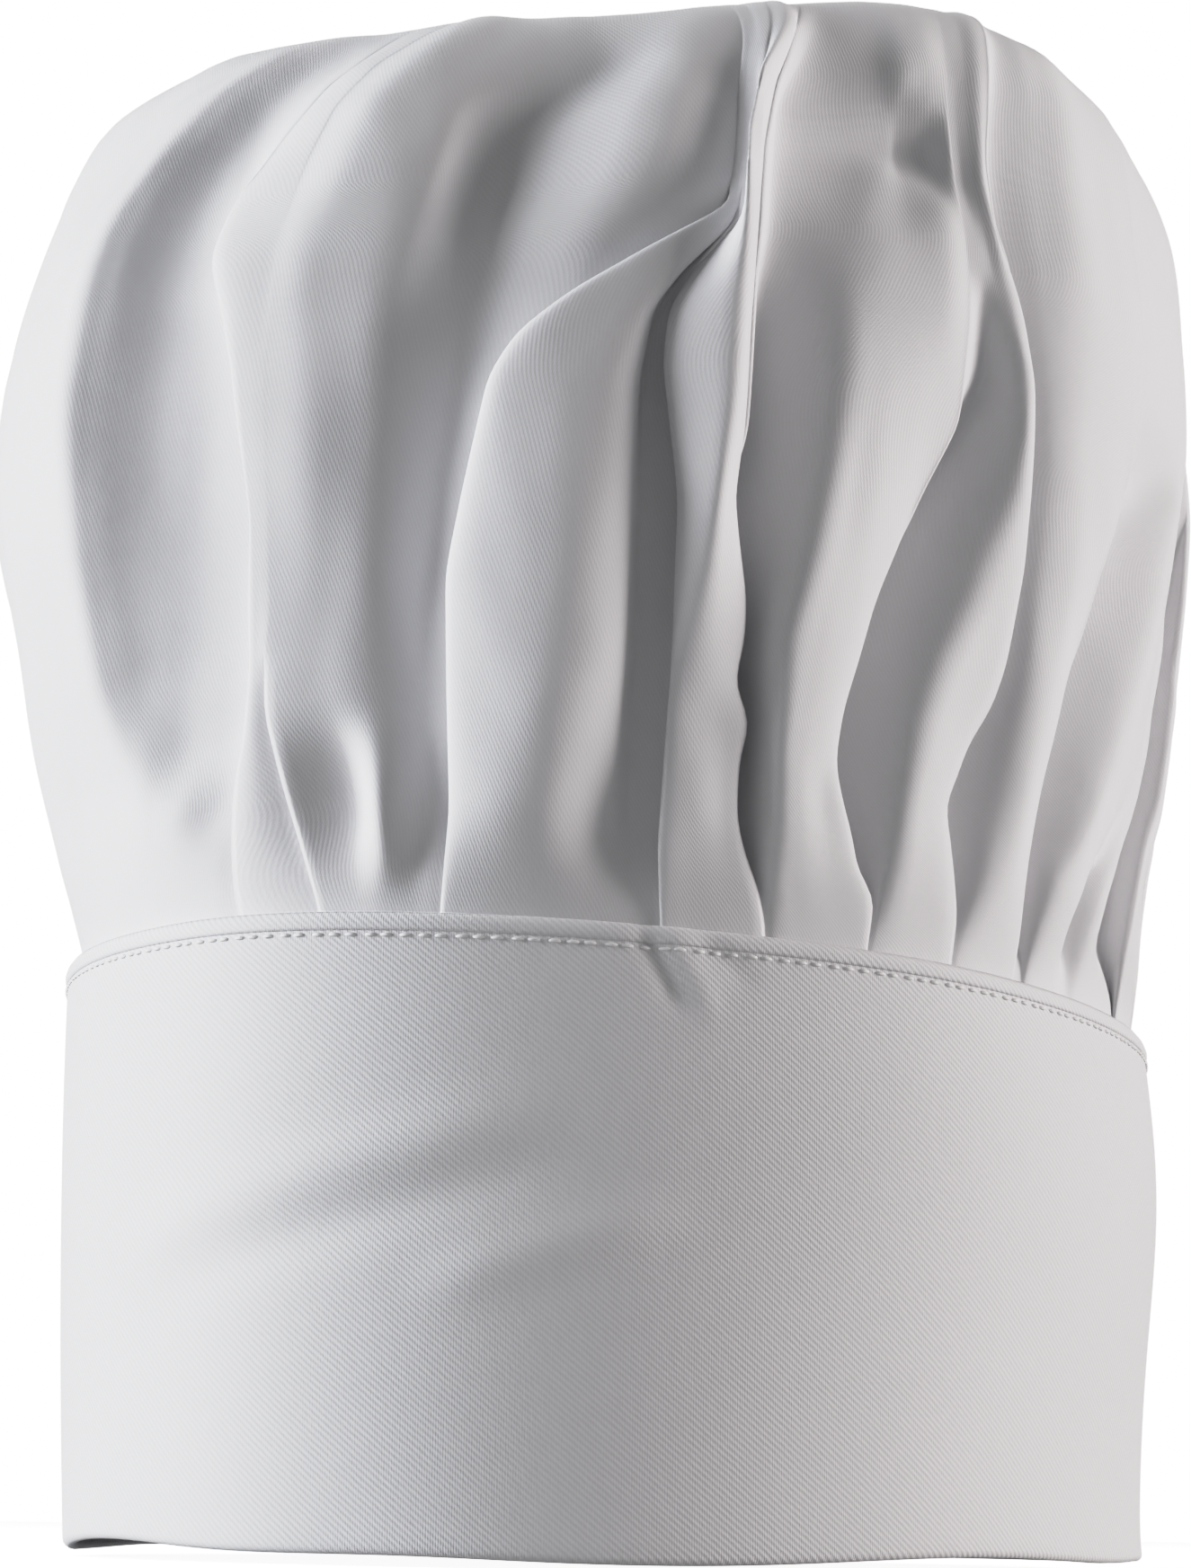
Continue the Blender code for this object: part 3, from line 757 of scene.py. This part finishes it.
    ([(88, 62, 2), (100, 62.5, 3), (116, 64.4, 3.6), (139, 67, 3), (157, 69, 2), (172, 68.6, 2), (196, 68, 2.5),
      (214, 69, 2), (240, 71, 0.5)], None),
    ([(86, 66.6, 0.6), (95, 67, 0.6), (105, 67.2, 0.8), (117, 68, 1.2), (132, 70, 1.4), (148, 73, 2),
      (165, 77.5, 3), (185, 80, 3.5), (205, 80, 3), (240, 82, 0.5)], (-1, 0.6, 4.0, 112, 140)),
    ([(88, 68.5, -3), (97, 69.5, -8), (108, 71, -11), (120, 72.8, -13), (135, 76, -13), (150, 81, -12),
      (163, 88.5, -10), (174, 96, -6), (184, 98, 0), (200, 96, 1.5), (240, 94, 0)], None),
    # M: the ridge at the right edge, and the slit beside it
    ([(88, 69, 0.8), (97, 70, 1.6), (105, 72, 2), (111, 76, 2.4), (119, 80, 2.4), (135, 86.5, 1.5),
      (148, 91.5, 1.4), (160, 97.5, 1.5), (172, 102, 1.6), (183, 105.5, 1.5), (200, 104, 1.5),
      (240, 101, 0)], None),
    ([(88, 74, 1.5), (100, 75.5, 2.4), (111, 80, 2.5), (125, 88, 2), (148, 98, 1), (165, 104, 0), (180, 109, 0),
      (200, 110, 0.5), (240, 108, 0)], None),
    ([(86, 78, -2.5), (97, 78.6, -5), (104, 81, -4), (112, 86, 0), (125, 93, 1), (148, 103, 0), (165, 109, -1),
      (240, 114, 0)], None),
    ([(86, 79.8, 1), (97, 81, 2), (104, 84, 2), (125, 97, 1), (148, 107, 0), (165, 113, 0), (240, 119, 0)], None),
]
CROWN_PROFILE = [  # height along the cloth, outward from the band's face, height, share of the rim's radius
    (83, -1.2, 83.0, 1.0),
    (87, -1.1, 87.0, 1.0),
    (88.5, -0.5, 88.5, 1.0),
    (91, 0.4, 91.0, 1.0),
    (95, 1.6, 95.0, 1.0),
    (109, 4.6, 109.0, 1.0),
    (127, 8.3, 127.0, 1.0),
    (147, 11.0, 147.0, 1.0),
    (166, 12.5, 166.0, 1.0),
    (183, 13.0, 183.0, 1.0),
    (198, 12.4, 198.0, 1.0),
    (212, 11.2, 212.0, 1.0),
    (222, 11.2, 221.5, 0.985),
    (231, 11.2, 229.5, 0.958),
    (239, 11.2, 235.5, 0.905),
    (250, 11.2, 238.3, 0.8),
    (270, 11.2, 239.4, 0.6),
    (295, 11.2, 239.0, 0.33),
    (326, 11.2, 238.5, 0.0),
]


def smoothed(values, steps):
    """Rolls off the corners of values along their first axis, keeping both ends."""
    for _ in range(steps):
        inner = 0.25 * values[:-2] + 0.5 * values[1:-1] + 0.25 * values[2:]
        values = np.concatenate([values[:1], inner, values[-1:]])
    return values


def shifted(guide, degrees):
    return [(q, psi + degrees, d) for q, psi, d in guide[0]], guide[1]


def back_guides(start, finish):
    """Gathered pleats of the unseen back, from one angle round to another."""
    draw = random.Random(11)
    guides = []
    psi = start
    while psi < finish - 4.0:
        width = min(draw.uniform(8.5, 14.0), finish - psi)
        lean = draw.uniform(-4.0, 4.0)
        bend = draw.uniform(130.0, 240.0)
        top = draw.uniform(165.0, 215.0)
        deep = draw.uniform(5.0, 8.0)
        proud = draw.uniform(1.5, 3.5)
        side = 1 if draw.random() < 0.5 else -1

        def line(share, depths):
            place = psi + share * width
            turned = (place - start) / (finish - start)
            swing = 27.0 * (1.0 - turned) ** 1.6
            made = []
            for q, depth in zip((88, 100, 125, 155, top, 235), depths):
                move = swing * smoothstep(90, 160 + 90 * turned, q) + lean * smoothstep(88, bend, q)
                made.append((q, place + float(move), depth))
            return made

        valley = (line(0.18, (-2, -deep * 0.7, -deep, -deep * 0.9, -deep * 0.3, 0)), None)
        crest = (line(0.40, (1, 1.5, proud, proud, proud * 0.7, 0)), (side, 1.2, 4.5, top - 30.0, top))
        panel = (line(0.70, (1, 1.5, proud + 0.5, proud + 0.5, proud, 0)), None)
        if side > 0:
            guides += [valley, crest, panel]
        else:
            guides += [shifted(panel, -0.5 * width), crest, shifted(valley, 0.45 * width)]
        psi += width
    return guides


def guide_lines(guide, q):
    """Angle and depth of a guide, and of the cloth tucked under it, at each height q, in the order they go round."""
    path, tuck = guide
    up, angles, depths = (np.array(v, float) for v in zip(*path))
    psi, depth = np.interp(q, up, angles), np.interp(q, up, depths)
    lines = [(psi, depth)]
    if tuck:
        side, reach, drop, fade_from, fade_to = tuck
        keep = 1.0 - smoothstep(fade_from, fade_to, q)
        lines.append((psi + side * reach * keep, depth - drop * keep))
        first, (after, deep) = lines[::-1] if side > 0 else lines
        lines = [first, (after + 0.25 * (1.0 - keep), deep)]
    return [(smoothed(a, 2), smoothed(d, 2)) for a, d in lines]


def crown_profile(q):
    """Outward, height and radius share along the crown, and the slope of its section."""
    heights, out, z, share = (np.array(v, float) for v in zip(*CROWN_PROFILE))
    dense = np.arange(q[0], q[-1] + 0.5, 0.5)
    columns = smoothed(np.stack([np.interp(dense, heights, v) for v in (out, z, share)], -1), 60)
    out, z, share = (np.interp(q, dense, columns[:, k]) for k in range(3))
    mean_radius = 95.0
    radius = (mean_radius + out) * share
    slope = np.stack([np.gradient(radius, q), np.gradient(z, q)], -1)
    slope /= np.linalg.norm(slope, axis=1, keepdims=True)
    return out, z, share, slope


def true_angle(psi):
    """The oval's own angle for a place seen at psi degrees round from the front."""
    turn = np.radians(psi)
    swell = 0.011
    own = np.degrees(np.arctan2((HALF_LENGTH + swell) * np.sin(turn), (HALF_WIDTH + swell) * np.cos(turn)))
    return psi + (own - psi + 180.0) % 360.0 - 180.0


def eased(q, heights, values):
    """Values between the given heights, with their corners rounded."""
    dense = np.arange(q.min() - 30.0, q.max() + 30.0, 1.0)
    return np.interp(q, dense, smoothed(np.interp(dense, heights, values), 70))


def crown_surface(psi, depth, q):
    """Points of the crown for arrays of rows x lines."""
    psi = true_angle(psi)
    out, z, share, slope = crown_profile(q)
    q, out, z, share = q[:, None], out[:, None], z[:, None], share[:, None]
    around = np.radians(psi)

    # The top tilts, and is level towards its middle.
    tilt = -5.5 + 6.5 * np.cos(around - math.radians(75.0)) + 1.6 * ridge(psi, -50.0, 25.0)
    tilt = tilt * smoothstep(87.0, 235.0, q) ** 2
    tilt = tilt + (4.6 * ridge(psi, 71.0, 17.0) - 8.0 * ridge(psi, 18.0, 32.0)) * smoothstep(170.0, 232.0, q)
    level = tilt.mean(axis=1, keepdims=True)
    tilt = level + (tilt - level) * share

    # The outline swells and pulls in by different amounts at the left, the right and the front.
    left, right = np.maximum(0.0, np.cos(around + 1.0)), np.maximum(0.0, np.cos(around - 1.8))
    left_wide = eased(q, (88, 95, 115, 140, 165, 190, 215), (-2.5, -2.0, -1.2, -0.6, 1.8, 0.3, -0.5))
    right_wide = eased(q, (88, 95, 115, 140, 165, 190, 205, 220), (-1.0, -4.5, -7.0, -6.0, -4.5, -2.5, -2.5, -1.0))
    pull = eased(q, (190, 200, 210, 220, 232, 245), (0.0, -2.0, -6.0, -9.5, -11.5, -12.0))
    wide = ridge(psi, 14.0, 46.0) * pull + left**2 * left_wide + right**2 * right_wide

    # The lower edge follows the worn band, and its end under the tab.
    moved_out, moved_up = settle(psi, BAND_HEIGHT)
    wide = wide + moved_out / MM * (1.0 - smoothstep(88.0, 150.0, q))
    lean = moved_up / MM * (1.0 - smoothstep(95.0, 170.0, q))
    back = (180.0 - psi + 180.0) % 360.0 - 180.0
    under = UNDER_STEP * smoothstep(-26, -18, back) * (1 - smoothstep(19, 29, back)) * (1 - smoothstep(89, 117, q))

    deep = depth * (0.12 + 0.88 * smoothstep(87.0, 104.0, q))
    east, north = oval(psi, (out + wide + deep * slope[:, 1:]) * MM - under)
    height = (z + tilt + lean - deep * slope[:, :1]) * MM
    return np.stack([east * share, north * share, height], -1)


def through(points, counts):
    """A smooth closed row through each row's guide points, with counts[i] points from guide i to the next."""
    lines = points.shape[1]
    made = []
    for i in range(lines):
        p = [points[:, (i + k) % lines] for k in (-1, 0, 1, 2)]
        steps = [np.sqrt(np.maximum(np.linalg.norm(p[k + 1] - p[k], axis=1), 2e-4)) for k in range(3)]
        t0, t1 = np.zeros_like(steps[0]), steps[0]
        t2 = t1 + steps[1]
        t3 = t2 + steps[2]
        for j in range(counts[i]):
            t = t1 + (t2 - t1) * (j / counts[i])

            def mix(a, b, ta, tb):
                w = ((t - ta) / (tb - ta))[:, None]
                return a * (1 - w) + b * w

            a1, a2, a3 = mix(p[0], p[1], t0, t1), mix(p[1], p[2], t1, t2), mix(p[2], p[3], t2, t3)
            b1, b2 = mix(a1, a2, t0, t2), mix(a2, a3, t1, t3)
            made.append(mix(b1, b2, t1, t2))
    return np.stack(made, 1)


def crumple(points, q):
    """Adds small soft crumples to the cloth, and shallow dents to its top."""
    for row, height in zip(points, q):
        share, over = float(smoothstep(88.0, 120.0, height)), float(smoothstep(222.0, 250.0, height))
        for c, (x, y, z) in enumerate(row):
            soft = noise.noise(Vector((x * 38, y * 38, z * 21)))
            fine = noise.noise(Vector((x * 95 + 7, y * 95, z * 45)))
            creased = noise.noise(Vector((x * 170 - 4, y * 170, z * 45 + 2)))
            dent = over * 0.0035 * noise.noise(Vector((x * 30 + 3, y * 24, 5.0)))
            move = (0.0011 * soft + 0.00045 * fine + 0.00022 * creased) * share
            out = move * (1 - over) / (math.hypot(x, y) + 1e-9)
            row[c] = (x + x * out, y + y * out, z + dent + move * over)


def build_crown():
    q = np.arange(83.0, 322.1, 1.5)
    guides = FRONT_GUIDES + back_guides(90.0, 294.0)
    lines = [line for guide in guides for line in guide_lines(guide, q)]
    psi, depth = (np.stack([line[k] for line in lines], 1) for k in (0, 1))

    # Over the top the lines spread out evenly.
    top = smoothstep(225.0, 300.0, q)[:, None]
    rim = psi[np.argmin(np.abs(q - 225.0))][None, :]
    even = rim.mean() + (np.arange(len(lines)) - (len(lines) - 1) / 2) * 360.0 / len(lines)
    psi = psi * (1 - top) + (0.3 * rim + 0.7 * even) * top
    points = crown_surface(psi, depth, q)
    middle = np.argmin(np.abs(q - 150.0))
    gaps = np.linalg.norm(np.roll(points[middle], -1, 0) - points[middle], axis=1)
    counts = [max(3, min(9, int(round(gap / 0.0011)))) for gap in gaps]
    points = through(points, counts)
    rows, columns = points.shape[:2]
    crumple(points, q)

    angle = np.degrees(np.arctan2(points[middle, :, 0], -points[middle, :, 1]))
    face_middle = int(np.argmin(np.abs(angle - 20.0)))
    weave = crown_weave(points, middle, face_middle)
    crown = grid_mesh("crown_cloth", points, weave, crown_cotton, closed=True)
    lay_top_flat(crown, int(np.argmin(np.abs(q - 236.0))), columns)
    close_top(crown, rows, columns)
    thicken(crown, 0.0005)
    return crown


def crown_weave(points, middle, first):
    """Weave coordinates in metres: across from the first column along each row, and up each column."""
    across = np.linalg.norm(np.diff(points, axis=1), axis=2)
    across = np.maximum(across, 1e-5) ** 0.65 * np.maximum(across[middle], 1e-5)[None, :] ** 0.35
    u = np.concatenate([np.zeros((len(points), 1)), np.cumsum(across, axis=1)], 1)
    u = u - u[:, first : first + 1]
    along = np.linalg.norm(np.diff(points, axis=0), axis=2).mean(1)
    return weave_map(u, np.concatenate([[0.0], np.cumsum(along)]))


def lay_top_flat(obj, first_row, columns):
    """The weave of the crown's top runs straight across it."""
    layer = obj.data.uv_layers["Weave"].data
    for polygon in obj.data.polygons:
        if polygon.vertices[0] // columns >= first_row:
            for loop in polygon.loop_indices:
                place = obj.data.vertices[obj.data.loops[loop].vertex_index].co
                layer[loop].uv = (place.x, place.y)


def close_top(obj, rows, columns):
    """Fills the small hole left at the middle of the crown's top."""
    bm = bmesh.new()
    bm.from_mesh(obj.data)
    bm.verts.ensure_lookup_table()
    layer = bm.loops.layers.uv["Weave"]
    edge = [bm.verts[(rows - 1) * columns + c] for c in range(columns)]
    centre = bm.verts.new(sum((vertex.co for vertex in edge), Vector()) / columns)
    for c in range(columns):
        a, b = edge[c], edge[(c + 1) % columns]
        face = bm.faces.new((a, b, centre))
        face.smooth = True
        for loop in face.loops:
            loop[layer].uv = (loop.vert.co.x, loop.vert.co.y)
    bm.normal_update()
    bm.to_mesh(obj.data)
    bm.free()


# ---------------- camera, light and floor


def build_camera():
    azimuth, pitch, roll = math.radians(VIEW_AZIMUTH), math.radians(12.93), math.radians(1.0)
    distance, sideways, height = 0.5434, 0.0042, 0.004
    data = bpy.data.cameras.new("camera")
    data.lens = 74.4
    data.sensor_width = 36.0
    camera = bpy.data.objects.new("camera", data)
    place = Vector((math.sin(azimuth), -math.cos(azimuth), 0.0)) * distance
    place -= Vector((math.cos(azimuth), math.sin(azimuth), 0.0)) * sideways
    place.z = height
    turn = Matrix.Rotation(azimuth, 4, "Z") @ Matrix.Rotation(math.pi / 2 + pitch, 4, "X")
    turn = turn @ Matrix.Rotation(roll, 4, "Z")
    camera.matrix_world = Matrix.Translation(place) @ turn
    bpy.context.scene.collection.objects.link(camera)
    bpy.context.scene.camera = camera


def area_light(name, azimuth, elevation, distance, size, power, colour):
    """A soft square light, azimuth degrees right of the camera, aimed at the hat's middle."""
    aim = Vector((0.0, 0.0, 0.12))
    turn, climb = math.radians(VIEW_AZIMUTH + azimuth), math.radians(elevation)
    flat = math.cos(climb) * distance
    place = aim + Vector((math.sin(turn) * flat, -math.cos(turn) * flat, math.sin(climb) * distance))
    data = bpy.data.lights.new(name, "AREA")
    data.size = size
    data.energy = power
    data.color = colour
    light = bpy.data.objects.new(name, data)
    light.matrix_world = Matrix.Translation(place) @ (aim - place).to_track_quat("-Z", "Y").to_matrix().to_4x4()
    bpy.context.scene.collection.objects.link(light)


def soften_highlights(settings):
    """A camera's soft shoulder, so that white cloth close to a light still shows its folds."""
    settings.use_curve_mapping = True
    curves = settings.curve_mapping
    curves.white_level = (2.0, 2.0, 2.0)
    tone = curves.curves[3]
    tone.points[0].location = (0.0, 0.0)
    tone.points[-1].location = (1.0, 1.0)
    shoulder = ((0.1, 0.185), (0.15, 0.27), (0.25, 0.49), (0.375, 0.70), (0.5, 0.79), (0.7, 0.87))
    for light, shown in shoulder:
        tone.points.new(light, shown)
    curves.update()


def show_camera(nodes, links, plain, seen, end):
    """Sends the camera's own rays to the shader seen, and all others to plain."""
    path, mix = add_node(nodes, "LightPath"), add_node(nodes, "MixShader")
    wire(links, (path, "Is Camera Ray", mix, "Fac"), (plain, 0, mix, 1), (seen, 0, mix, 2), (mix, 0, end, "Surface"))


def build_stage():
    scene = bpy.context.scene
    scene.view_settings.view_transform = "Standard"
    soften_highlights(scene.view_settings)
    area_light("cool_side", -80.0, 8.0, 3.0, 1.6, 152.0, (0.965, 0.972, 1.0))
    area_light("warm_side", 88.0, 8.0, 3.0, 1.4, 96.0, (1.0, 0.948, 0.935))
    white = (1.0, 1.0, 1.0, 1.0)
    world = bpy.data.worlds.new("world")
    scene.world = world
    world.use_nodes = True
    nodes, links = world.node_tree.nodes, world.node_tree.links
    background = nodes["Background"]
    set_values(background, Color=(0.98, 0.98, 1.0, 1.0), Strength=0.148)
    backdrop = add_node(nodes, "Background", Color=white, Strength=2.0)
    show_camera(nodes, links, background, backdrop, nodes["World Output"])

    material, nodes, links, shader = new_material("pale_floor")
    set_values(shader, Base_Color=(0.5, 0.5, 0.5, 1.0), Roughness=0.8)
    glow = add_node(nodes, "Emission", Color=white, Strength=1.75)
    both = add_node(nodes, "AddShader")
    wire(links, (shader, "BSDF", both, 0), (glow, "Emission", both, 1))
    show_camera(nodes, links, shader, both, nodes["Material Output"])
    mesh = bpy.data.meshes.new("floor")
    corners = [(x, y, -0.0015) for x, y in ((-4, -4), (4, -4), (4, 4), (-4, 4))]
    mesh.from_pydata(corners, [], [(0, 1, 2, 3)])
    mesh.materials.append(material)
    floor = bpy.data.objects.new("floor", mesh)
    scene.collection.objects.link(floor)


# ---------------- assembly

build_camera()
build_stage()
band_cloth, band_welt = build_band()
around = np.arange(BAND_START + 0.6, BAND_FINISH - 0.5, 0.5)
topstitch = sewing("band_stitches", around, OUTER_LINE, np.mean(z_range("band_topstitch")), "band", size=0.00055)
crown_cloth = build_crown()
tab, tab_stitches, hook_tape, hooks, hook_stitches = build_tab_side()
loop_tape, loops, loop_stitches, end_stitches = build_under_end()
label, label_stitches, seam_stitches, gathers = build_inside()
tacks = [bar_tack("tack_left", "bar_tack_left", 199.5), bar_tack("tack_right", "bar_tack_right", 148.5)]

FINISHES = [  # piece, the CAD nodes it stands for, and the record's finish
    (band_cloth, ("band_cover", "band_stiffener"), "band_twill"),
    (band_welt, ("band_top_welt",), "band_twill"),
    (topstitch, ("band_topstitch",), "thread"),
    (crown_cloth, ("crown_wall", "crown_top"), "crown_cloth"),
    (loop_tape, ("loop_tape",), "closure_tape"),
    (loops, ("loop_tape",), "closure_tape"),
    (loop_stitches, ("loop_tape_stitch",), "thread"),
    (end_stitches, ("under_end_stitch",), "thread"),
    (tacks[0], ("bar_tack_left",), "thread"),
    (tacks[1], ("bar_tack_right",), "thread"),
    (label, ("care_label",), "label_satin"),
    (label_stitches, ("label_stitch",), "thread"),
    (seam_stitches, ("crown_seam_thread",), "thread"),
    (gathers, ("crown_gather_thread",), "thread"),
    (hook_tape, ("hook_tape",), "closure_tape"),
    (hooks, ("hook_tape",), "closure_tape"),
    (hook_stitches, ("hook_tape_stitch",), "thread"),
    (tab, ("tab_cover", "tab_stiffener"), "band_twill"),
    (tab_stitches, ("tab_edge_stitch",), "thread"),
]
for piece, nodes, finish in FINISHES:
    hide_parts(*nodes)
    if piece in (tab, tab_stitches):
        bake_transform(piece)
    else:
        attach(piece, "closure_tab" if piece in (hook_tape, hooks, hook_stitches) else "hat")
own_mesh(crown_cloth)
